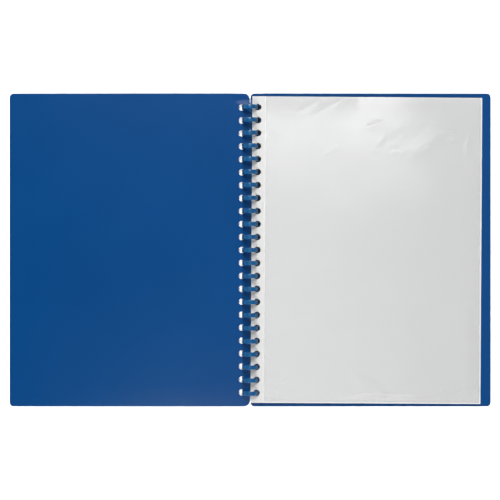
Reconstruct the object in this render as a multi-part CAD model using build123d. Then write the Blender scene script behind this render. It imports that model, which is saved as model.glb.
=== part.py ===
"""A4 clear pocket display book, lying open at its first pocket.

Two stiff plastic covers and a block of clear pockets are threaded on a plastic comb. The comb's
spine lies flat on the table, its fingers curl up through the punched holes, and every sheet turns
about one line, the centre of the comb's loops.

Millimetres. X runs across the open book, Y along the comb towards the top of the page, Z up.
The origin is on the table, under the middle of the comb.
"""
from build123d import *
import os
from math import acos, atan2, degrees, hypot, radians, sin, sqrt

# The loose sheet that a pocket takes
SHEET_WIDTH = 210.0
SHEET_HEIGHT = 297.0
SHEET_PLAY = 1.0

# Clear pockets
POCKET_COUNT = 20
FILM_THICKNESS = 0.05
STRIP_THICKNESS = 0.08
STRIP_MARGIN = 3.0
SEAM_WIDTH = 1.0
MOUTH_LIP = 2.5
POCKET_GUTTER = 1.2
POCKET_GAP = 0.04
POCKET_SKEW = 0.35

# Covers
COVER_THICKNESS = 0.8
COVER_END_BORDER = 3.25
COVER_FORE_BORDER = 10.1
COVER_GUTTER = 0.3
COVER_GAP = 0.05
COVER_CORNER_RADIUS = 4.0
FRONT_SPINE_CORNER_RADIUS = 6.0

# Row of punched holes, the same in covers and pockets
HOLE_PITCH = 12.7
HOLE_DIAMETER = 6.3
HOLE_END_MARGIN = 10.0
COVER_HOLE_OUTSET = 0.75
POCKET_HOLE_INSET = 0.4

# Comb
LOOP_RADIUS = 8.0
LOOP_CORNER_RADIUS = 2.4
COMB_THICKNESS = 1.2
SPINE_WIDTH = 10.0
SPINE_OVERHANG = 2.0
FINGER_TAPER = 0.5
FINGER_CLEARANCE = 0.3
LAP_LENGTH = 3.5
LAP_SLIT = 0.1
COVER_SEAT_CLEARANCE = 0.3

# Height of the stack, measured from the hinge line at its middle
POCKET_PITCH = FILM_THICKNESS + STRIP_THICKNESS + POCKET_GAP
HALF_STACK = POCKET_COUNT * POCKET_PITCH / 2
COVER_INNER_OFFSET = HALF_STACK + COVER_GAP
COVER_OUTER_OFFSET = COVER_INNER_OFFSET + COVER_THICKNESS
COVER_REST_HEIGHT = COMB_THICKNESS + COVER_SEAT_CLEARANCE
AXIS_HEIGHT = COVER_REST_HEIGHT + COVER_OUTER_OFFSET

# Where the holes lie across the sheets: around the middle of the finger that goes through them
HOLE_RADIUS = HOLE_DIAMETER / 2
LOOP_INNER_RADIUS = LOOP_RADIUS - COMB_THICKNESS
STRAND_MIDDLE = LOOP_RADIUS - COMB_THICKNESS / 2
COVER_HOLE_X = STRAND_MIDDLE + COVER_HOLE_OUTSET
POCKET_HOLE_X = STRAND_MIDDLE - POCKET_HOLE_INSET

# Outline of a pocket and of a cover
STRIP_END_X = POCKET_HOLE_X + HOLE_RADIUS + STRIP_MARGIN
POCKET_END_X = STRIP_END_X + SEAM_WIDTH + SHEET_WIDTH + SHEET_PLAY + SEAM_WIDTH
POCKET_HEIGHT = SEAM_WIDTH + SHEET_HEIGHT + MOUTH_LIP
COVER_END_X = POCKET_END_X + COVER_FORE_BORDER
COVER_HEIGHT = POCKET_HEIGHT + 2 * COVER_END_BORDER

# Holes along the comb
HOLE_COUNT = int((POCKET_HEIGHT - 2 * HOLE_END_MARGIN) / HOLE_PITCH) + 1
HOLE_SPAN = (HOLE_COUNT - 1) * HOLE_PITCH

# Both halves of the open book slope down from the comb until their outer edges touch the table
COVER_REACH = hypot(COVER_END_X, COVER_OUTER_OFFSET)
SLOPE = degrees(atan2(COVER_END_X, COVER_OUTER_OFFSET) - acos(AXIS_HEIGHT / COVER_REACH))
HINGE = Pos(0, 0, AXIS_HEIGHT)
RIGHT_HALF = HINGE * Rot(0, SLOPE, 0)
OPENED_FRONT = HINGE * Rot(0, -180 - SLOPE, 0)


def chord_half(offset):
    """Half the height of a punched hole, at a distance from its centre across the sheet."""
    return sqrt(HOLE_RADIUS**2 - offset**2)


def finger_root_width():
    """The widest finger that still clears its holes in the covers and in the skewed pockets."""
    floor_corner = LOOP_CORNER_RADIUS - COMB_THICKNESS
    corner_depth = LOOP_CORNER_RADIUS - COVER_REST_HEIGHT
    strand_at_rest = LOOP_RADIUS - LOOP_CORNER_RADIUS + sqrt(floor_corner**2 - corner_depth**2)
    strand_turned = sqrt(LOOP_INNER_RADIUS**2 - COVER_OUTER_OFFSET**2)
    in_cover = COVER_HOLE_X - min(strand_at_rest, strand_turned)
    skew_shift = HOLE_SPAN / 2 * sin(radians(POCKET_SKEW))
    strand_in_pocket = sqrt(LOOP_INNER_RADIUS**2 - HALF_STACK**2)
    in_pocket = max(
        LOOP_RADIUS - POCKET_HOLE_X + skew_shift,
        POCKET_HOLE_X + skew_shift - strand_in_pocket,
    )
    return 2 * (min(chord_half(in_cover), chord_half(in_pocket)) - FINGER_CLEARANCE)


def span_box(x_low, x_high, y_low, y_high, z_low, thickness):
    """A flat box between two X and two Y values, standing on z_low."""
    corner = Pos(x_low, y_low, z_low)
    return corner * Box(x_high - x_low, y_high - y_low, thickness, align=(Align.MIN, Align.MIN, Align.MIN))


def hole_row(x):
    """The row of punched holes, as flat discs."""
    return [place * Circle(HOLE_RADIUS) for place in Pos(x, 0) * GridLocations(1, HOLE_PITCH, 1, HOLE_COUNT)]


def cover(spine_corner_radius, z_low):
    """One cover, flat on the closed book, with its bound edge beside the hinge line."""
    width = COVER_END_X - COVER_GUTTER
    outline = Pos(COVER_GUTTER + width / 2, 0) * Rectangle(width, COVER_HEIGHT)
    columns = outline.vertices().group_by(Axis.X)
    outline = fillet(columns[0], spine_corner_radius)
    outline = fillet(outline.vertices().group_by(Axis.X)[-1], COVER_CORNER_RADIUS)
    return Pos(0, 0, z_low) * extrude(outline - hole_row(COVER_HOLE_X), COVER_THICKNESS)


def pocket():
    """Back film, front film and punched strip of a pocket, flat, with its back film on z = 0."""
    bottom = -POCKET_HEIGHT / 2
    top = POCKET_HEIGHT / 2
    mouth = top - MOUTH_LIP
    holes = extrude(Sketch(hole_row(POCKET_HOLE_X)), POCKET_PITCH)
    back_film = span_box(POCKET_GUTTER, POCKET_END_X, bottom, top, 0, FILM_THICKNESS) - holes
    front_film = span_box(STRIP_END_X, POCKET_END_X, bottom, mouth, FILM_THICKNESS, FILM_THICKNESS)
    strip = span_box(POCKET_GUTTER, STRIP_END_X, bottom, top, FILM_THICKNESS, STRIP_THICKNESS) - holes
    return back_film, front_film, strip


def pocket_place(number):
    """Where a pocket lies, counted from the front cover: the first is on top of the stack."""
    return RIGHT_HALF * Pos(0, 0, HALF_STACK - number * POCKET_PITCH) * Rot(0, 0, -POCKET_SKEW)


def loop_outline(radius, corner_radius, floor_height):
    """The loop seen along the comb: a half circle about the hinge line, standing on a flat floor."""
    corner_x = radius - corner_radius
    corner_z = floor_height + corner_radius
    return make_face([
        CenterArc((0, AXIS_HEIGHT), radius, 0, 180),
        Line((-radius, AXIS_HEIGHT), (-radius, corner_z)),
        CenterArc((-corner_x, corner_z), corner_radius, 180, 90),
        Line((-corner_x, floor_height), (corner_x, floor_height)),
        CenterArc((corner_x, corner_z), corner_radius, 270, 90),
        Line((radius, corner_z), (radius, AXIS_HEIGHT)),
    ])


def span_rectangle(x_low, x_high, z_low, z_high):
    """A rectangle in the loop's own plane."""
    return Pos((x_low + x_high) / 2, (z_low + z_high) / 2) * Rectangle(x_high - x_low, z_high - z_low)


def comb():
    """The comb: a flat spine whose fingers curl over, each tip lapped on the spine's thinned edge."""
    spine_edge = SPINE_WIDTH / 2
    lap_start = spine_edge - LAP_LENGTH
    flange = (COMB_THICKNESS - LAP_SLIT) / 2
    tip_floor = flange + LAP_SLIT
    slit = (
        span_rectangle(spine_edge, spine_edge + LAP_SLIT, 0, tip_floor)
        + span_rectangle(lap_start - LAP_SLIT, spine_edge + LAP_SLIT, flange, tip_floor)
        + span_rectangle(lap_start - LAP_SLIT, lap_start, flange, COMB_THICKNESS)
    )
    inner = loop_outline(LOOP_INNER_RADIUS, LOOP_CORNER_RADIUS - COMB_THICKNESS, COMB_THICKNESS)
    loop = loop_outline(LOOP_RADIUS, LOOP_CORNER_RADIUS, 0) - inner - slit
    root_width = finger_root_width()
    tip_width = root_width - FINGER_TAPER
    taper = make_face(Polyline(
        (-LOOP_RADIUS, -root_width / 2),
        (LOOP_RADIUS, -tip_width / 2),
        (LOOP_RADIUS, tip_width / 2),
        (-LOOP_RADIUS, root_width / 2),
        close=True,
    ))
    full_loop = extrude(Plane.XZ * loop, root_width / 2, both=True)
    finger = full_loop & extrude(taper, AXIS_HEIGHT + LOOP_RADIUS)
    spine_section = (
        span_rectangle(-spine_edge, lap_start - LAP_SLIT, 0, COMB_THICKNESS)
        + span_rectangle(-spine_edge, spine_edge, 0, flange)
    )
    spine_half_length = HOLE_SPAN / 2 + root_width / 2 + SPINE_OVERHANG
    spine = extrude(Plane.XZ * spine_section, spine_half_length, both=True)
    return spine + [place * finger for place in GridLocations(1, HOLE_PITCH, 1, HOLE_COUNT)]


def write(node, shape):
    """Save one node."""
    export_step(shape, os.path.join("parts", node + ".step"))


def main():
    """Build every piece in its place in the open book."""
    os.makedirs("parts", exist_ok=True)
    write("binding_comb", comb())
    write("front_cover", OPENED_FRONT * cover(FRONT_SPINE_CORNER_RADIUS, COVER_INNER_OFFSET))
    write("back_cover", RIGHT_HALF * cover(COVER_CORNER_RADIUS, -COVER_OUTER_OFFSET))
    back_film, front_film, strip = pocket()
    for number in range(1, POCKET_COUNT + 1):
        place = pocket_place(number)
        write(f"pocket_{number:02d}_sleeve", Compound([place * back_film, place * front_film]))
        write(f"pocket_{number:02d}_binding_strip", place * strip)
    print("hinge line height", round(AXIS_HEIGHT, 4), "slope", round(SLOPE, 4), "degrees")
    print("finger root width", round(finger_root_width(), 3), "holes", HOLE_COUNT)


main()
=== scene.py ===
"""Looks of the clear pocket display book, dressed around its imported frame.

Shapes are in millimetres, as in the solids, and become metres when a mesh is made. Lights are placed in
metres. X runs across the open book, Y along the comb towards the top of the page, Z up from the table.
"""
from math import acos, atan2, cos, hypot, pi, radians, sin

import bmesh
import bpy
import numpy as np
from mathutils import Matrix, Vector


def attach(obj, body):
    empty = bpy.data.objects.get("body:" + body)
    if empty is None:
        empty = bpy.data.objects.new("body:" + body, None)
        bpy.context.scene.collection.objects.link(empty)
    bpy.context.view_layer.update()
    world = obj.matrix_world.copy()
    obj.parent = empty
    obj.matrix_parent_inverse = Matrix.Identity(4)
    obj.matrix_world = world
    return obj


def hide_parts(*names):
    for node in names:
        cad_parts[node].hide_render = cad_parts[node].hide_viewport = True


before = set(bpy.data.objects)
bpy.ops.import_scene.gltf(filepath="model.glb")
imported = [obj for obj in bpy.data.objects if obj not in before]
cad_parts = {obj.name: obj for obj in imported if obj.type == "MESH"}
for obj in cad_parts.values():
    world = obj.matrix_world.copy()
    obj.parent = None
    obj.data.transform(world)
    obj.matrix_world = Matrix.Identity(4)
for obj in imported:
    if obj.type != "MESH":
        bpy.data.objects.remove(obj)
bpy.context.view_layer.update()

MM = 0.001
TO_METRES = Matrix.Scale(MM, 4)
TO_MILLIMETRES = Matrix.Scale(1 / MM, 4)

# Sizes repeated from the solids
HINGE_HEIGHT = 4.05
HALF_STACK = 1.7
POCKET_COUNT = 20
POCKET_PITCH = 0.17
POCKET_SKEW = 0.35
FILM_THICKNESS = 0.05
STRIP_END_X = 13.15
POCKET_HOLE_X = 7.0
POCKET_END_X = 226.15
POCKET_HEIGHT = 300.5
MOUTH_LIP = 2.5
SEAM_WIDTH = 1.0
COVER_END_X = 236.25
COVER_HEIGHT = 307.0
COVER_OUTER_OFFSET = 2.55
HOLE_PITCH = 12.7
HOLE_COUNT = 23
LOOP_RADIUS = 8.0
LOOP_CORNER_RADIUS = 2.4
COMB_THICKNESS = 1.2
SPINE_HALF_WIDTH = 5.0
SPINE_HALF_LENGTH = 143.95
FINGER_ROOT_WIDTH = 4.494
FINGER_TIP_WIDTH = 3.994
LAP_START = 1.5
LAP_SLIT = 0.1
LAP_FLANGE = 0.55

# Middles of the punched holes along the comb
HOLE_MIDDLES = [(index - (HOLE_COUNT - 1) / 2) * HOLE_PITCH for index in range(HOLE_COUNT)]

# Where the sheets lie: both halves slope down from the comb to the table
COVER_REACH = hypot(COVER_END_X, COVER_OUTER_OFFSET)
SLOPE = atan2(COVER_END_X, COVER_OUTER_OFFSET) - acos(HINGE_HEIGHT / COVER_REACH)
HINGE_PLACE = Matrix.Translation((0, 0, HINGE_HEIGHT))
RIGHT_HALF = HINGE_PLACE @ Matrix.Rotation(SLOPE, 4, "Y")
OPENED_FRONT = HINGE_PLACE @ Matrix.Rotation(-pi - SLOPE, 4, "Y")


def pocket_place(number):
    """Where a pocket lies, counted from the top of the stack."""
    lift = Matrix.Translation((0, 0, HALF_STACK - number * POCKET_PITCH))
    return RIGHT_HALF @ lift @ Matrix.Rotation(radians(-POCKET_SKEW), 4, "Z")


# Materials


class Shader:
    """One material with a Principled shader and the small nodes that feed it."""

    def __init__(self, name, **values):
        self.material = bpy.data.materials.new(name)
        self.material.use_nodes = True
        self.tree = self.material.node_tree
        self.surface = self.tree.nodes["Principled BSDF"]
        for socket, value in values.items():
            self.surface.inputs[socket.replace("_", " ")].default_value = value
        self.place = self.tree.nodes.new("ShaderNodeTexCoord").outputs["Object"]

    def node(self, kind, **values):
        """A new node, with its input sockets set by name."""
        made = self.tree.nodes.new(kind)
        for socket, value in values.items():
            made.inputs[socket.replace("_", " ")].default_value = value
        return made

    def link(self, source, target):
        """Join an output to an input."""
        self.tree.links.new(source, target)

    def feed(self, socket, source):
        """Join an output to a socket of the surface."""
        self.link(source, self.surface.inputs[socket])

    def stretched(self, x, y, z):
        """The place on the object, scaled along its axes."""
        mapping = self.node("ShaderNodeMapping", Scale=(x, y, z))
        self.link(self.place, mapping.inputs["Vector"])
        return mapping.outputs["Vector"]

    def distance(self):
        """How far a place is from the object's origin, in metres."""
        made = self.tree.nodes.new("ShaderNodeVectorMath")
        made.operation = "LENGTH"
        self.link(self.place, made.inputs[0])
        return made.outputs["Value"]

    def noise(self, scale, detail, place=None):
        """Soft noise from 0 to 1, with its scale in waves per metre."""
        made = self.node("ShaderNodeTexNoise", Scale=scale, Detail=detail)
        self.link(place or self.place, made.inputs["Vector"])
        return made.outputs["Fac"]

    def ramp(self, source, low, high, to_low, to_high):
        """A number moved from one range to another."""
        made = self.node("ShaderNodeMapRange", From_Min=low, From_Max=high, To_Min=to_low, To_Max=to_high)
        self.link(source, made.inputs["Value"])
        return made.outputs["Result"]

    def shade(self, source, low_colour, high_colour):
        """A colour between two, chosen by a number from 0 to 1."""
        made = self.tree.nodes.new("ShaderNodeMix")
        made.data_type = "RGBA"
        colours = [socket for socket in made.inputs if socket.type == "RGBA"]
        colours[0].default_value = (*low_colour, 1)
        colours[1].default_value = (*high_colour, 1)
        self.link(source, made.inputs["Factor"])
        return next(socket for socket in made.outputs if socket.type == "RGBA")

    def attribute(self, name):
        """A number that the mesh keeps at each of its points."""
        made = self.tree.nodes.new("ShaderNodeAttribute")
        made.attribute_name = name
        return made.outputs["Fac"]

    def bump(self, height, strength, distance, below=None):
        """A bumped normal, its distance in metres, on top of another where one is given."""
        made = self.node("ShaderNodeBump", Strength=strength, Distance=distance)
        self.link(height, made.inputs["Height"])
        if below:
            self.link(below, made.inputs["Normal"])
        return made.outputs["Normal"]


def cover_plastic():
    """Matt blue sheet: a fine pebbled grain, faint streaks from the rollers, a few soft rubs."""
    made = Shader("cover_plastic", Specular_IOR_Level=0.07, IOR=1.49)
    clouds = made.ramp(made.noise(scale=9, detail=2), 0.3, 0.7, 0, 1)
    made.feed("Base Color", made.shade(clouds, (0.0004, 0.0337, 0.126), (0.0008, 0.0372, 0.137)))
    rubs = made.noise(scale=30, detail=2, place=made.stretched(0.5, 1.0, 1.0))
    made.feed("Roughness", made.ramp(rubs, 0.25, 0.75, 0.285, 0.315))
    grain = made.bump(made.noise(scale=2600, detail=2), strength=0.1, distance=0.00006)
    streaks = made.noise(scale=160, detail=2, place=made.stretched(1.0, 0.04, 1.0))
    made.feed("Normal", made.bump(streaks, strength=0.08, distance=0.0002, below=grain))
    return made.material


def comb_plastic():
    """Smooth moulded blue plastic, a little lighter and glossier than the covers."""
    made = Shader("comb_plastic", Specular_IOR_Level=0.5, IOR=1.49)
    clouds = made.ramp(made.noise(scale=70, detail=2), 0.3, 0.7, 0, 1)
    made.feed("Base Color", made.shade(clouds, (0.004, 0.070, 0.190), (0.006, 0.080, 0.212)))
    made.feed("Roughness", made.ramp(made.noise(scale=450, detail=3), 0.3, 0.7, 0.20, 0.28))
    made.feed("Normal", made.bump(made.noise(scale=900, detail=2), strength=0.06, distance=0.00005))
    return made.material


def pocket_film():
    """Clear film with a faint haze, so that a stack of it looks silvery, milky where it is creased:
    partly the whitening of creased film and partly a painted highlight along the creases.
    """
    made = Shader("pocket_film", Specular_IOR_Level=0.6, IOR=1.5, Metallic=0.25)
    # Alpha and whiteness rise along the sharp creases: crease whitening, and a painted highlight standing
    # in for their glints
    made.feed("Alpha", made.ramp(made.attribute("crease_white_and_painted_glint"), 0, 1, 0.22, 0.42))
    clouds = made.noise(scale=40, detail=3)
    made.feed("Base Color", made.shade(clouds, (0.94, 0.945, 0.945), (0.968, 0.968, 0.968)))
    made.feed("Roughness", made.ramp(made.noise(scale=120, detail=3), 0.3, 0.7, 0.065, 0.085))
    ripples = made.noise(scale=70, detail=1, place=made.stretched(1.0, 0.2, 1.0))
    made.feed("Normal", made.bump(ripples, strength=0.02, distance=0.0003))
    return made.material


def weld_film():
    """Where two films are welded together: whiter, and knurled by the welding bar."""
    made = Shader("pocket_weld", Alpha=0.55, Specular_IOR_Level=0.5, IOR=1.5)
    knurl = made.noise(scale=1500, detail=1)
    made.feed("Base Color", made.shade(knurl, (0.84, 0.845, 0.85), (0.95, 0.95, 0.95)))
    made.feed("Roughness", made.ramp(knurl, 0.3, 0.7, 0.35, 0.5))
    made.feed("Normal", made.bump(knurl, strength=0.3, distance=0.0001))
    return made.material


def strip_plastic():
    """White satin strip with fine lines along it."""
    made = Shader("strip_plastic", Specular_IOR_Level=0.4, IOR=1.5)
    clouds = made.noise(scale=90, detail=3)
    made.feed("Base Color", made.shade(clouds, (0.56, 0.56, 0.56), (0.61, 0.61, 0.61)))
    made.feed("Roughness", made.ramp(made.noise(scale=200, detail=2), 0.3, 0.7, 0.38, 0.5))
    fine_lines = made.noise(scale=1400, detail=1, place=made.stretched(1.0, 0.02, 1.0))
    made.feed("Normal", made.bump(fine_lines, strength=0.2, distance=0.0001))
    return made.material


def table_top():
    """White table that glows by itself far from the book, where the lights no longer reach."""
    made = Shader("table_top", Roughness=0.9, Specular_IOR_Level=0.0, Emission_Color=(1, 1, 1, 1))
    clouds = made.noise(scale=2, detail=1)
    made.feed("Base Color", made.shade(clouds, (0.29, 0.29, 0.29), (0.31, 0.31, 0.31)))
    made.feed("Emission Strength", made.ramp(made.distance(), 0.9, 2.2, 0, 1))
    return made.material


COVER_PLASTIC = cover_plastic()
COMB_PLASTIC = comb_plastic()
POCKET_FILM = pocket_film()
WELD_FILM = weld_film()
STRIP_PLASTIC = strip_plastic()


# Meshes

# How close points are joined, how flat faces are joined in degrees, and how close a cut keeps to a point
WELD_DISTANCE = 0.0005
FLAT_ANGLE = 1
CUT_DISTANCE = 0.0001

# Faces that meet at more than these angles in degrees keep a sharp edge
SHEET_EDGE_ANGLE = 35
FILM_EDGE_ANGLE = 40
COMB_EDGE_ANGLE = 50


def add_object(name, mesh, materials, edge_angle=None):
    """A new object from a mesh in metres, smooth apart from its sharp edges where an angle is given."""
    for material in materials:
        mesh.materials.append(material)
    made = bpy.data.objects.new(name, mesh)
    bpy.context.scene.collection.objects.link(made)
    if edge_angle:
        mesh.shade_smooth()
        mesh.set_sharp_from_angle(angle=radians(edge_angle))
    return made


def mesh_from_points(name, points, faces, place=None):
    """A mesh in metres from points in millimetres."""
    mesh = bpy.data.meshes.new(name)
    mesh.from_pydata([tuple(point) for point in points], [], faces)
    if place:
        mesh.transform(place)
    mesh.transform(TO_METRES)
    return mesh


def flat_sheet(node, place):
    """A node's solid in millimetres, laid flat, with the triangles of each flat side joined."""
    work = bmesh.new()
    work.from_mesh(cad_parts[node].data)
    work.transform(TO_MILLIMETRES)
    work.transform(place.inverted())
    bmesh.ops.remove_doubles(work, verts=work.verts, dist=WELD_DISTANCE)
    bmesh.ops.dissolve_limit(work, angle_limit=radians(FLAT_ANGLE), verts=work.verts, edges=work.edges)
    return work


def cut_plane(work, point, normal, **options):
    """Cut all the faces of a sheet along a plane, and return what the cut made."""
    every = work.verts[:] + work.edges[:] + work.faces[:]
    made = bmesh.ops.bisect_plane(
        work, geom=every, plane_co=point, plane_no=normal, dist=CUT_DISTANCE, **options
    )
    return made["geom_cut"]


def cut_grid(work, x_cuts, y_cuts):
    """Cut a sheet's faces into a grid."""
    for x in x_cuts:
        cut_plane(work, (x, 0, 0), (1, 0, 0))
    for y in y_cuts:
        cut_plane(work, (0, y, 0), (0, 1, 0))


def mesh_from_sheet(name, work, place):
    """A mesh in metres from a flat sheet, put back in its place."""
    work.transform(place)
    work.transform(TO_METRES)
    mesh = bpy.data.meshes.new(name)
    work.to_mesh(mesh)
    work.free()
    return mesh


# Soft forms

# How many waves make a swell, the spread of their lengths, and how sharp the top of a crease is
WAVE_COUNT = 7
WAVE_SPREAD = (0.7, 1.5)
CREASE_SHARPNESS = 1.7


def step(value):
    """A smooth step from 0 to 1."""
    t = np.clip(value, 0, 1)
    return t * t * (3 - 2 * t)


def rise(value, start, reach):
    """A smooth step up: 0 as far as a start, and 1 from a reach beyond it."""
    return step((value - start) / reach)


def fall(value, end, reach):
    """A smooth step down: 1 until a reach before an end, and 0 from the end on."""
    return step((end - value) / reach)


def swell(x, y, seed, wave):
    """Slow uneven waves from 0 to 1, of about a given length."""
    draw = np.random.RandomState(seed)
    total = np.zeros_like(x)
    for _ in range(WAVE_COUNT):
        turn = draw.uniform(0, 2 * pi)
        length = wave * draw.uniform(*WAVE_SPREAD)
        phase = draw.uniform(0, 2 * pi)
        total += np.sin(2 * pi * (x * cos(turn) + y * sin(turn)) / length + phase)
    return 0.5 + 0.5 * np.tanh(total / WAVE_COUNT**0.5)


def crease(x, y, start, end, width, height):
    """A sharp-topped crease along a line, fading out towards both ends."""
    run = np.array([end[0] - start[0], end[1] - start[1]])
    length = np.hypot(*run)
    along = ((x - start[0]) * run[0] + (y - start[1]) * run[1]) / length**2
    off = np.abs((x - start[0]) * run[1] - (y - start[1]) * run[0]) / length
    fade = np.sin(pi * np.clip(along, 0, 1))
    return height * np.exp(-((off / width) ** CREASE_SHARPNESS)) * fade


# Covers

# How far a cover can come down beside the comb, and how it bows between the comb and its outer edge.
# A pair whose name ends in X or Y is the start or end of a soft step, and its reach.
COVER_ROOM = 1.25
FRONT_BOW = 0.35
BACK_BOW_SHARE = 0.3
BOW_START_X = (16, 60)
BOW_END_X = (235, 30)
BOW_WAVE = 150

# Its lower edge hangs down over a reach, and so does its upper corner beside the comb
BOTTOM_DROOP_SHARE = 0.6
BOTTOM_DROOP_REACH = 20
CORNER_DROOP_X = (17, 10)
CORNER_DROOP_Y = (142.6, 5.2)

# Cuts that let it bend, closer together where it hangs down. Some meet the starts of its round corners.
CORNER_START_Y = 147.5
COVER_X_CUTS = [3, 5, 12, 14, 16, 18, *range(20, 236, 12)]
COVER_Y_CUTS = [*range(-152, -130, 2), *range(-128, 143, 12)]
COVER_Y_CUTS += [CORNER_START_Y + n * 2 / 3 for n in range(-8, 9)]

COVER_EDGE_ROUNDING = 0.18
ROUNDED_ANGLE = 50


def room_below(x):
    """How far a cover can come down before it rests on the table."""
    return COVER_ROOM * (1 - x / COVER_END_X)


def droop(x, y):
    """How far a cover's free edges hang down: all along the bottom, and at the top beside the comb."""
    near_bottom = np.clip(1 - (y + COVER_HEIGHT / 2) / BOTTOM_DROOP_REACH, 0, 1)
    bottom = BOTTOM_DROOP_SHARE * near_bottom**2
    corner = fall(x, *CORNER_DROOP_X) * rise(y, *CORNER_DROOP_Y)
    return room_below(x) * (bottom + corner)


def dress_cover(node, place, inward, seed):
    """A cover that hangs and bows a little: the front one towards the pockets, the back one away."""
    work = flat_sheet(node, place)
    cut_grid(work, COVER_X_CUTS, COVER_Y_CUTS)
    x = np.array([vertex.co.x for vertex in work.verts])
    y = np.array([vertex.co.y for vertex in work.verts])
    free = rise(x, *BOW_START_X) * fall(x, *BOW_END_X)
    bow = FRONT_BOW if node == "front_cover" else -BACK_BOW_SHARE * room_below(x)
    wave = bow * free * swell(x, y, seed, BOW_WAVE) - droop(x, y)
    for vertex, lift in zip(work.verts, wave):
        vertex.co.z += inward * lift
    name = node + "_sheet"
    made = add_object(name, mesh_from_sheet(name, work, place), [COVER_PLASTIC], SHEET_EDGE_ANGLE)
    rounding = made.modifiers.new("edge_rounding", "BEVEL")
    rounding.width = COVER_EDGE_ROUNDING * MM
    rounding.segments = 2
    rounding.limit_method = "ANGLE"
    rounding.angle_limit = radians(ROUNDED_ANGLE)
    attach(made, node)
    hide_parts(node)
    return made


covers = [
    dress_cover("front_cover", OPENED_FRONT, inward=-1, seed=3),
    dress_cover("back_cover", RIGHT_HALF, inward=1, seed=8),
]


# Comb

# Rounding of its edges, at most a share of the thickness, and how far a finger starts inside the spine
FINGER_ROUNDING = 0.38
ROUNDING_SHARE = 0.45
SPINE_ROUNDING = 0.15
FINGER_OVERLAP = 0.3

# Stations along a finger's corners and its loop
CORNER_STEPS = 6
LOOP_STEPS = 36

# A finger thins to its lapped tip over this length
LAP_RAMP = 0.05

# The tip narrows: distances from its end, and shares of the full width there
TIP_WIDTHS = ((0.9, 1.0), (0.3, 0.86), (0, 0.6))


def arc(centre, radius, start, end, count):
    """Stations on an arc, as place and outward direction, from one angle in degrees to another."""
    stations = []
    for index in range(count + 1):
        turn = radians(start + (end - start) * index / count)
        out = (cos(turn), sin(turn))
        stations.append((centre[0] + radius * out[0], centre[1] + radius * out[1], *out))
    return stations


def finger_stations():
    """Middle line of a finger: place, outward direction, reach out and in, and share of the width."""
    half = COMB_THICKNESS / 2
    radius = LOOP_RADIUS - half
    corner_radius = LOOP_CORNER_RADIUS - half
    corner_x = LOOP_RADIUS - LOOP_CORNER_RADIUS
    line = [(-SPINE_HALF_WIDTH + FINGER_OVERLAP, half, 0, -1)]
    line += arc((-corner_x, LOOP_CORNER_RADIUS), corner_radius, 270, 180, CORNER_STEPS)
    line += arc((0, HINGE_HEIGHT), radius, 180, 0, LOOP_STEPS)
    line += arc((corner_x, LOOP_CORNER_RADIUS), corner_radius, 0, -90, CORNER_STEPS)
    stations = [(x, z, nx, nz, half, half, 1.0) for x, z, nx, nz in line]
    seat = half - LAP_FLANGE - LAP_SLIT
    lap_edge = SPINE_HALF_WIDTH + LAP_SLIT
    stations.append((lap_edge + LAP_RAMP, half, 0, -1, half, half, 1.0))
    stations.append((lap_edge, half, 0, -1, seat, half, 1.0))
    for from_end, share in TIP_WIDTHS:
        stations.append((LAP_START + from_end, half, 0, -1, seat, half, share))
    return stations


def rounded_section(half_width, out, back):
    """Points round a finger's section: offsets along the comb and outwards."""
    radius = min(FINGER_ROUNDING, (out + back) * ROUNDING_SHARE)
    points = []
    corners = ((1, out, 0), (-1, out, 90), (-1, -back, 180), (1, -back, 270))
    for side, level, start in corners:
        middle_y = side * (half_width - radius)
        middle_out = level - radius if level == out else level + radius
        for turn in (0, 30, 60, 90):
            angle = radians(start + turn)
            points.append((middle_y + radius * cos(angle), middle_out + radius * sin(angle)))
    return points


def finger(centre_y, points, faces):
    """Add one curled finger to the lists."""
    first = len(points)
    stations = finger_stations()
    for x, z, nx, nz, out, back, share in stations:
        taper = (x + LOOP_RADIUS) / (2 * LOOP_RADIUS)
        width = FINGER_ROOT_WIDTH + (FINGER_TIP_WIDTH - FINGER_ROOT_WIDTH) * taper
        section = rounded_section(width * share / 2, out, back)
        points += [(x + nx * offset, centre_y + y, z + nz * offset) for y, offset in section]
    ring = len(section)
    for row in range(len(stations) - 1):
        low = first + row * ring
        for index in range(ring):
            after = (index + 1) % ring
            faces.append((low + index, low + after, low + ring + after, low + ring + index))
    last = first + (len(stations) - 1) * ring
    faces.append(tuple(range(first + ring - 1, first - 1, -1)))
    faces.append(tuple(range(last, last + ring)))


def spine(points, faces):
    """Add the flat spine, with its thinned edge under the finger tips, to the lists."""
    section = [
        (-SPINE_HALF_WIDTH, 0),
        (SPINE_HALF_WIDTH, 0),
        (SPINE_HALF_WIDTH, LAP_FLANGE),
        (LAP_START - LAP_SLIT, LAP_FLANGE),
        (LAP_START - LAP_SLIT, COMB_THICKNESS),
        (-SPINE_HALF_WIDTH, COMB_THICKNESS),
    ]
    work = bmesh.new()
    ends = []
    for y in (-SPINE_HALF_LENGTH, SPINE_HALF_LENGTH):
        ends.append([work.verts.new((x, y, z)) for x, z in section])
    work.faces.new(ends[0])
    work.faces.new(reversed(ends[1]))
    for index in range(len(section)):
        after = (index + 1) % len(section)
        work.faces.new((ends[0][after], ends[0][index], ends[1][index], ends[1][after]))
    edges = work.edges[:]
    bmesh.ops.bevel(work, geom=edges, offset=SPINE_ROUNDING, segments=2, profile=0.5, affect="EDGES")
    work.verts.index_update()
    first = len(points)
    points += [tuple(vertex.co) for vertex in work.verts]
    faces += [tuple(first + vertex.index for vertex in face.verts) for face in work.faces]
    work.free()


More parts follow.
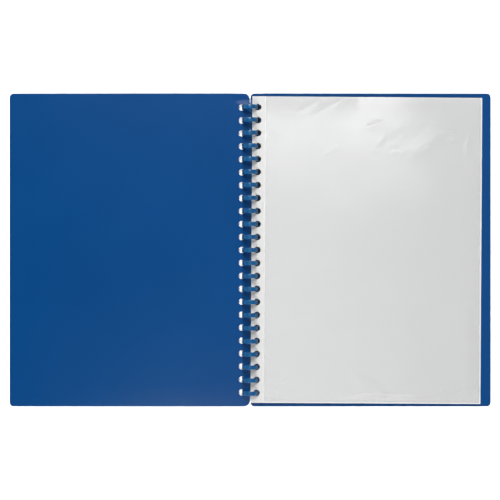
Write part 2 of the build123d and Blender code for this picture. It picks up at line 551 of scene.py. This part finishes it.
def dress_comb():
    """The whole comb as one moulded piece."""
    points = []
    faces = []
    spine(points, faces)
    for middle in HOLE_MIDDLES:
        finger(middle, points, faces)
    mesh = mesh_from_points("comb_moulding", points, faces)
    work = bmesh.new()
    work.from_mesh(mesh)
    bmesh.ops.recalc_face_normals(work, faces=work.faces)
    work.to_mesh(mesh)
    work.free()
    made = add_object("comb_moulding", mesh, [COMB_PLASTIC], COMB_EDGE_ANGLE)
    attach(made, "comb")
    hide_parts("binding_comb")


dress_comb()


# Pockets

# Their lower edge lies a little above the solids' one
BOTTOM_TRIM = 0.9
BOTTOM = -POCKET_HEIGHT / 2 + BOTTOM_TRIM
TOP = POCKET_HEIGHT / 2
MOUTH = TOP - MOUTH_LIP

# How far the back film goes on under the strip
STRIP_OVERLAP = 2

# Extra grid lines at the films' edges, as distances from the edge
EDGE_LINES = (0, SEAM_WIDTH / 2, SEAM_WIDTH, 3)

# Spacing of their grid lines: in the first pocket, in the upper ones after it, and in the rest
FIRST_SPACING = 1.3
UPPER_SPACING = 3.0
LOWER_SPACING = 8.0
UPPER_POCKETS = 6

# Reach over which the films come free of the weld on the left, on the right and at the bottom
FREE_REACH_LEFT = 8
FREE_REACH_RIGHT = 12
FREE_REACH_BOTTOM = 10

# Films sag freely, less from this Y on towards the mouth, and less near the strip
FIRM_START_Y = (40, 85)
SLACK_REACH = 90
SAG_HEIGHT = 0.25
SAG_SEED = 5
SAG_WAVE = 110

# The lip at the mouth curls up from a line, low on the left and gaping in the middle
LIP_START_Y = 122
LIP_LENGTH = 26
LIP_HEIGHT = 0.05
LIP_START_X = (78, 25)
GAPE_HEIGHT = 0.30
GAPE_START_X = (103.5, 3)
GAPE_END_X = (186, 45)

# A soft fold below the lip, whose lower side slants across the page through a point
FOLD_HEIGHT = 0.18
FOLD_POINT = (120, 103)
FOLD_SLANT = 0.15
FOLD_START_X = (116, 14)
FOLD_END_X = (195, 40)
FOLD_REACH = 18

# The most that the films may stand off: little beside the comb, more towards the outer edge
RELIEF_AT_COMB = 0.05
RELIEF_PER_X = 0.009

# How much less relief each pocket down takes on, and how the lower films sag and puff
RELIEF_LOSS = 0.13
STACK_SAG = 0.02
STACK_SEED = 21
STACK_WAVE = 140
PUFF_HEIGHT = 0.04
PUFF_SEED = 40
PUFF_WAVE = 60
FIRST_OWN_RELIEF = 0.12
LOWER_OWN_RELIEF = 0.05

# How far a weld's bead reaches below and above it
BEAD_BELOW = 0.02
BEAD_ABOVE = 0.09

# Creases narrower than this are painted white, partly as creased film whitens and partly as a painted
# highlight, those at the bottom of the page more than those at the top
SHARP_WIDTH = 2.4
WHITE_AND_GLINT_TOP = 12
WHITE_AND_GLINT_BOTTOM = 34

# Material of a face: clear film or weld
FILM_FACE = 0
WELD_FACE = 1

# Long creases of the first pocket's film: both ends, width and height
CREASES = [
    ((4, 112), (30, 113.5), 3.0, 0.11),
    ((43, 133), (70, 149), 2.4, 0.065),
    ((56, 128.5), (90, 150), 2.4, 0.08),
    ((70, 90), (87, 104), 2.2, 0.06),
    ((110, 119), (131, 127), 2.9, 0.12),
    ((132, 115), (123, 101), 2.6, 0.10),
    ((108, 97), (132, 98), 1.8, 0.025),
    ((136, 95.5), (150, 97), 2.0, 0.08),
    ((146, 89), (152, 101), 2.4, 0.07),
    ((166, 97), (180, 106), 2.2, 0.045),
    ((150, 88), (205, 132), 9.0, 0.25),
    ((195, 105), (199, 113), 1.6, 0.06),
    ((188, 116), (205, 117.5), 1.8, 0.06),
    ((210, 88), (214, 118), 2.5, 0.10),
    ((19, -142), (30, -118), 2.5, 0.08),
    ((33, -140), (27, -124), 2.5, 0.07),
    ((95, -112), (124, -146), 5.0, 0.22),
    ((110, -122), (136, -145), 3.5, 0.16),
]

# Patches of small crinkles: middle, reach across and along, and how many
CRINKLES = [
    ((136, 102), (20, 14), 16),
    ((198, 110), (12, 12), 9),
    ((75, 92), (16, 14), 6),
    ((112, -134), (30, 9), 14),
    ((28, -134), (10, 9), 6),
    ((192, -138), (24, 7), 10),
]
CRINKLE_SEED = 17
CRINKLE_HALF_LENGTHS = (3, 8)
CRINKLE_WIDTHS = (1.3, 2.6)
CRINKLE_HEIGHTS = (0.006, 0.02)


def small_creases():
    """Short creases scattered over the crinkled patches."""
    draw = np.random.RandomState(CRINKLE_SEED)
    made = []
    for middle, reach, count in CRINKLES:
        for _ in range(count):
            x = middle[0] + reach[0] * draw.uniform(-1, 1)
            y = middle[1] + reach[1] * draw.uniform(-1, 1)
            turn = draw.uniform(0, pi)
            half = draw.uniform(*CRINKLE_HALF_LENGTHS)
            along = (half * cos(turn), half * sin(turn))
            start = (x - along[0], y - along[1])
            end = (x + along[0], y + along[1])
            made.append((start, end, draw.uniform(*CRINKLE_WIDTHS), draw.uniform(*CRINKLE_HEIGHTS)))
    return made


ALL_CREASES = CREASES + small_creases()


def hold(x, y):
    """0 where a film is welded, 1 where it is free to bulge."""
    left = rise(x, STRIP_END_X + SEAM_WIDTH, FREE_REACH_LEFT)
    right = fall(x, POCKET_END_X - SEAM_WIDTH, FREE_REACH_RIGHT)
    bottom = rise(y, BOTTOM + SEAM_WIDTH, FREE_REACH_BOTTOM)
    return left * right * bottom


def slack(x, y):
    """How freely the films sag: less and less towards the mouth and the bound edge."""
    return (1 - rise(y, *FIRM_START_Y)) * rise(x, STRIP_END_X, SLACK_REACH)


def relief(x, y):
    """How far the films stand off the flat: a lip that gapes at the mouth, soft folds and crinkles."""
    near_mouth = np.clip((y - LIP_START_Y) / LIP_LENGTH, 0, None)
    gape = rise(x, *GAPE_START_X) * fall(x, *GAPE_END_X)
    lip = LIP_HEIGHT * rise(x, *LIP_START_X) * (1 - gape)
    slow = near_mouth**2 * (lip + GAPE_HEIGHT * gape)
    fold_y = FOLD_POINT[1] + FOLD_SLANT * (x - FOLD_POINT[0])
    slow += FOLD_HEIGHT * rise(y, fold_y, FOLD_REACH) * rise(x, *FOLD_START_X) * fall(x, *FOLD_END_X)
    slow += SAG_HEIGHT * swell(x, y, SAG_SEED, SAG_WAVE) * slack(x, y)
    room = RELIEF_AT_COMB + RELIEF_PER_X * x
    sharp = sum(crease(x, y, *each) for each in ALL_CREASES)
    return hold(x, y) * room * np.tanh((slow + sharp) / room)


def crease_white_and_painted_glint(x, y):
    """How milky the first pocket's film is, from 0 to 1: white along its sharp creases, partly crease
    whitening and partly a painted highlight.
    """
    sharp = [each for each in ALL_CREASES if each[2] < SHARP_WIDTH]
    total = np.zeros_like(x)
    for start, end, width, height in sharp:
        white_and_glint_strength = WHITE_AND_GLINT_TOP if start[1] > 0 else WHITE_AND_GLINT_BOTTOM
        total += crease(x, y, start, end, 0.5 * width, white_and_glint_strength * height / width)
    return np.clip(total, 0, 1)


def shared_relief(number):
    """How much of the first film's relief a pocket's back film takes on, less with each pocket down."""
    return max(0.0, 1 - RELIEF_LOSS * number)


def bead(x, y):
    """1 along the outer edge of a weld, where the welding bar squeezes it thicker, and 0 inside it."""
    inset = np.minimum(POCKET_END_X - x, y - BOTTOM)
    return np.clip(1 - 2 * inset / SEAM_WIDTH, 0, 1)


def back_level(number, x, y):
    """Height of a pocket's back film over the pocket's own flat place."""
    most = STACK_SAG * (POCKET_COUNT - number)
    sag = most * hold(x, y) * swell(x, y, STACK_SEED, STACK_WAVE) * slack(x, y)
    return FILM_THICKNESS / 2 + sag + shared_relief(number) * relief(x, y) - BEAD_BELOW * bead(x, y)


def front_level(number, x, y):
    """Height of a pocket's front film: a little off its back film, but never in the pocket above."""
    puff = PUFF_HEIGHT * hold(x, y) * swell(x, y, PUFF_SEED + number, PUFF_WAVE)
    own = FIRST_OWN_RELIEF if number == 1 else LOWER_OWN_RELIEF
    lift = FILM_THICKNESS + puff + own * relief(x, y) + BEAD_ABOVE * bead(x, y)
    return back_level(number, x, y) + lift


def grid_spacing(number):
    """Spacing of a film's grid lines: fine in the first pocket, which shows, and coarser further down."""
    if number == 1:
        return FIRST_SPACING
    return UPPER_SPACING if number <= UPPER_POCKETS else LOWER_SPACING


def grid_lines(low, high, spacing):
    """Grid lines between two values, with extra ones at both ends."""
    inner_low = low + EDGE_LINES[-1]
    inner_high = high - EDGE_LINES[-1]
    count = max(2, round((inner_high - inner_low) / spacing))
    middle = list(np.linspace(inner_low, inner_high, count + 1))
    outer = EDGE_LINES[:-1]
    return [low + inset for inset in outer] + middle + [high - inset for inset in reversed(outer)]


def film(number, level, x_lines, y_lines, upward, mesh_lists):
    """Add one film to the lists, as a grid that faces up or down, and return its points' numbers."""
    points, faces, kinds, white_and_glint = mesh_lists
    first = len(points)
    x, y = np.meshgrid(np.array(x_lines), np.array(y_lines), indexing="ij")
    points += np.stack([x, y, level(number, x, y)], axis=-1).reshape(-1, 3).tolist()
    # Only the first pocket's films get the crease whiteness, which is partly a painted highlight
    white_and_glint += (crease_white_and_painted_glint(x, y) if number == 1 else np.zeros_like(x)).ravel().tolist()
    columns = len(y_lines)
    weld_low = STRIP_END_X + SEAM_WIDTH
    weld_high = POCKET_END_X - SEAM_WIDTH
    for i in range(len(x_lines) - 1):
        middle_x = (x_lines[i] + x_lines[i + 1]) / 2
        for j in range(columns - 1):
            middle_y = (y_lines[j] + y_lines[j + 1]) / 2
            corner = first + i * columns + j
            quad = (corner, corner + columns, corner + columns + 1, corner + 1)
            faces.append(quad if upward else tuple(reversed(quad)))
            inside = weld_low < middle_x < weld_high and middle_y > BOTTOM + SEAM_WIDTH
            kinds.append(FILM_FACE if inside else WELD_FACE)
    return first + np.arange(x.size).reshape(x.shape)


def close_edge(low, high, mesh_lists):
    """Join the edges of two films by a narrow wall."""
    _, faces, kinds, _ = mesh_lists
    low = low.tolist()
    high = high.tolist()
    for index in range(len(low) - 1):
        faces.append((low[index], low[index + 1], high[index + 1], high[index]))
        kinds.append(WELD_FACE)


def dress_strip(number):
    """The white strip that a pocket is bound by, cut level with the films at its lower end."""
    body = f"pocket_{number:02d}"
    node = body + "_binding_strip"
    place = pocket_place(number)
    work = flat_sheet(node, place)
    cut_grid(work, [POCKET_HOLE_X], HOLE_MIDDLES)
    cut = cut_plane(work, (0, BOTTOM, 0), (0, 1, 0), clear_inner=True)
    bmesh.ops.holes_fill(work, edges=[each for each in cut if isinstance(each, bmesh.types.BMEdge)])
    bmesh.ops.recalc_face_normals(work, faces=work.faces)
    name = body + "_strip"
    made = add_object(name, mesh_from_sheet(name, work, place), [STRIP_PLASTIC], SHEET_EDGE_ANGLE)
    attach(made, body)
    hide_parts(node)


def dress_films(number):
    """A pocket's two films, welded into a bag that is open at the top."""
    body = f"pocket_{number:02d}"
    mesh_lists = ([], [], [], [])
    x_lines = grid_lines(STRIP_END_X, POCKET_END_X, grid_spacing(number))
    y_lines = grid_lines(BOTTOM, MOUTH, grid_spacing(number))
    back_x_lines = [STRIP_END_X - STRIP_OVERLAP] + x_lines
    back = film(number, back_level, back_x_lines, y_lines + [TOP], False, mesh_lists)[1:, :-1]
    front = film(number, front_level, x_lines, y_lines, True, mesh_lists)
    close_edge(back[-1], front[-1], mesh_lists)
    close_edge(back[:, 0], front[:, 0], mesh_lists)
    points, faces, kinds, white_and_glint = mesh_lists
    name = body + "_films"
    mesh = mesh_from_points(name, points, faces, pocket_place(number))
    mesh.polygons.foreach_set("material_index", kinds)
    # The crease whiteness, partly a painted highlight, is kept at each point for the film's material
    mesh.attributes.new("crease_white_and_painted_glint", "FLOAT", "POINT").data.foreach_set("value", white_and_glint)
    made = add_object(name, mesh, [POCKET_FILM, WELD_FILM], FILM_EDGE_ANGLE)
    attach(made, body)
    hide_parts(body + "_sleeve")
    return made


for pocket in range(1, POCKET_COUNT + 1):
    dress_strip(pocket)

films = [dress_films(pocket) for pocket in range(1, POCKET_COUNT + 1)]


# Table and sky

TABLE_REACH = 4000
TABLE_CORNERS = [
    (-TABLE_REACH, -TABLE_REACH, 0),
    (TABLE_REACH, -TABLE_REACH, 0),
    (TABLE_REACH, TABLE_REACH, 0),
    (-TABLE_REACH, TABLE_REACH, 0),
]
floor = add_object("table", mesh_from_points("table", TABLE_CORNERS, [(0, 1, 2, 3)]), [table_top()])


def soft_fade(tree, source, start, end, **values):
    """A number that goes smoothly from 0 to 1, or between given values, between two ends of a source."""
    made = tree.nodes.new("ShaderNodeMapRange")
    made.interpolation_type = "SMOOTHSTEP"
    made.inputs["From Min"].default_value = start
    made.inputs["From Max"].default_value = end
    for socket, value in values.items():
        made.inputs[socket.replace("_", " ")].default_value = value
    tree.links.new(source, made.inputs["Value"])
    return made.outputs["Result"]


def times(tree, first, second):
    """Two numbers multiplied."""
    made = tree.nodes.new("ShaderNodeMath")
    made.operation = "MULTIPLY"
    tree.links.new(first, made.inputs[0])
    tree.links.new(second, made.inputs[1])
    return made.outputs[0]


def light_sky():
    """A white sky, as bright as the table at the horizon and dim overhead."""
    world = bpy.data.worlds.new("studio")
    bpy.context.scene.world = world
    world.use_nodes = True
    tree = world.node_tree
    direction = tree.nodes.new("ShaderNodeSeparateXYZ")
    tree.links.new(tree.nodes.new("ShaderNodeTexCoord").outputs["Generated"], direction.inputs["Vector"])
    glow = soft_fade(tree, direction.outputs["Z"], 0.0, 0.35, To_Min=1.0, To_Max=0.12)
    background = tree.nodes["Background"]
    tree.links.new(glow, background.inputs["Strength"])
    background.inputs["Color"].default_value = (1, 1, 1, 1)


light_sky()


# Lights


def soft_light(name, place, target, width, depth, power):
    """A rectangular soft light that faces a point."""
    data = bpy.data.lights.new(name, "AREA")
    data.shape = "RECTANGLE"
    data.size = width
    data.size_y = depth
    data.energy = power
    made = bpy.data.objects.new(name, data)
    made.location = place
    made.rotation_euler = (Vector(target) - Vector(place)).to_track_quat("-Z", "Y").to_euler()
    bpy.context.scene.collection.objects.link(made)
    return made


def panel(name, level, x_range, y_range, x_fades, y_fades, radiance):
    """A level panel over the book, to be seen in its gloss, whose glow fades in metres from its edges."""
    width = x_range[1] - x_range[0]
    depth = y_range[1] - y_range[0]
    middle = (sum(x_range) / 2, sum(y_range) / 2)
    made = soft_light(name, (*middle, level), (*middle, 0), width, depth, pi * width * depth * radiance)
    made.rotation_euler = (0, 0, 0)
    made.data.use_nodes = True
    tree = made.data.node_tree
    place = tree.nodes.new("ShaderNodeSeparateXYZ")
    tree.links.new(tree.nodes.new("ShaderNodeNewGeometry").outputs["Parametric"], place.inputs["Vector"])
    # The lower Y edge fades twice, for a slower start
    lower_y = ("Y", 0, y_fades[0] / depth)
    edges = [
        ("X", 0, x_fades[0] / width),
        ("X", 1, x_fades[1] / width),
        lower_y,
        lower_y,
        ("Y", 1, y_fades[1] / depth),
    ]
    fades = [soft_fade(tree, place.outputs[axis], edge, abs(edge - share)) for axis, edge, share in edges]
    glow = fades[0]
    for fade in fades[1:]:
        glow = times(tree, glow, fade)
    tree.links.new(glow, tree.nodes["Emission"].inputs["Strength"])
    return made


def link_lights(lights, pieces, state):
    """Let lights fall on the given pieces alone (INCLUDE), or on everything but them (EXCLUDE)."""
    receivers = bpy.data.collections.new("light_receivers")
    for piece in pieces:
        receivers.objects.link(piece)
    for each in receivers.collection_objects:
        each.light_linking.link_state = state
    for each in lights:
        each.light_linking.receiver_collection = receivers


# Soft lights: place, target, width, depth and power. Those of the room light the book, not the table.
BOOK_MIDDLE = (0, 0, 0)
PAGE_MIDDLE = (0.1, 0, 0)
room_lights = [
    soft_light("key", (-0.2, 1.25, 1.75), BOOK_MIDDLE, 0.9, 1.2, 45),
    soft_light("fill", (-0.1, -1.6, 1.35), BOOK_MIDDLE, 0.9, 1.2, 30),
]
table_lights = [
    soft_light("table_back", (0, 1.9, 1.5), BOOK_MIDDLE, 1.2, 0.5, 350),
    soft_light("table_front", (0, -1.9, 1.5), BOOK_MIDDLE, 1.2, 0.5, 350),
]

# Windows: low lights that show as bright bands in the films, seen from the side
window_lights = [
    soft_light("window_left", (-1.85, 1.85, 1.28), PAGE_MIDDLE, 1.2, 0.24, 0.8),
    soft_light("window_right", (2.1, -2.1, 0.79), PAGE_MIDDLE, 1.2, 0.18, 0.6),
]
for light in window_lights:
    light.visible_camera = False

# Panels: height, range across and along, fades across and along, and radiance
gloss_lights = [
    panel("overhead", 2.20, (-0.45, 0.70), (-0.03, 0.447), (0.25, 0.30), (0.47, 0.030), 0.88),
    panel("overhead_patch", 2.21, (0.29, 0.58), (0.30, 0.447), (0.06, 0.16), (0.10, 0.030), 0.45),
    panel("comb_strip", 2.22, (-0.50, 0.90), (-1.0, 0.7), (0.4, 0.85), (0.3, 0.3), 0.42),
    panel("front_edge", 2.24, (0.05, 0.60), (-0.85, -0.60), (0.05, 0.1), (0.05, 0.05), 0.2),
]
cover_lights = [
    panel("cover_edge", 2.26, (-0.45, -0.02), (-0.85, -0.54), (0.15, 0.05), (0.03, 0.10), 34.0),
    panel("cover_corner", 2.28, (-0.25, 0.20), (1.40, 1.90), (0.1, 0.1), (0.05, 0.1), 62.0),
    panel("cover_border", 2.30, (0.60, 1.0), (-0.7, 0.7), (0.1, 0.1), (0.2, 0.2), 4.0),
]
link_lights(room_lights + gloss_lights, [floor], "EXCLUDE")
link_lights(window_lights, films, "INCLUDE")
link_lights(cover_lights, covers, "INCLUDE")
link_lights(table_lights, [floor], "INCLUDE")


# Camera: straight above the book. A pixel is so many millimetres wide at the camera's distance.

PICTURE_SIZE = 500
PIXEL = 0.9808
SENSOR = 36.0
CAMERA_DISTANCE = 1000.0
CAMERA_PLACE = (-0.20, -0.03, CAMERA_DISTANCE + 2.0)
camera_data = bpy.data.cameras.new("camera")
camera_data.sensor_width = SENSOR
camera_data.lens = SENSOR * CAMERA_DISTANCE / (PICTURE_SIZE * PIXEL)
camera_data.clip_start = 0.01
camera_data.clip_end = 100
camera = bpy.data.objects.new("camera", camera_data)
camera.location = Vector(CAMERA_PLACE) * MM
scene = bpy.context.scene
scene.collection.objects.link(camera)
scene.camera = camera

# Plain colours, and enough bounces to see through the whole stack of films
scene.view_settings.view_transform = "Standard"
scene.cycles.transparent_max_bounces = 96
scene.cycles.max_bounces = 6
scene.cycles.diffuse_bounces = 3
scene.cycles.glossy_bounces = 2
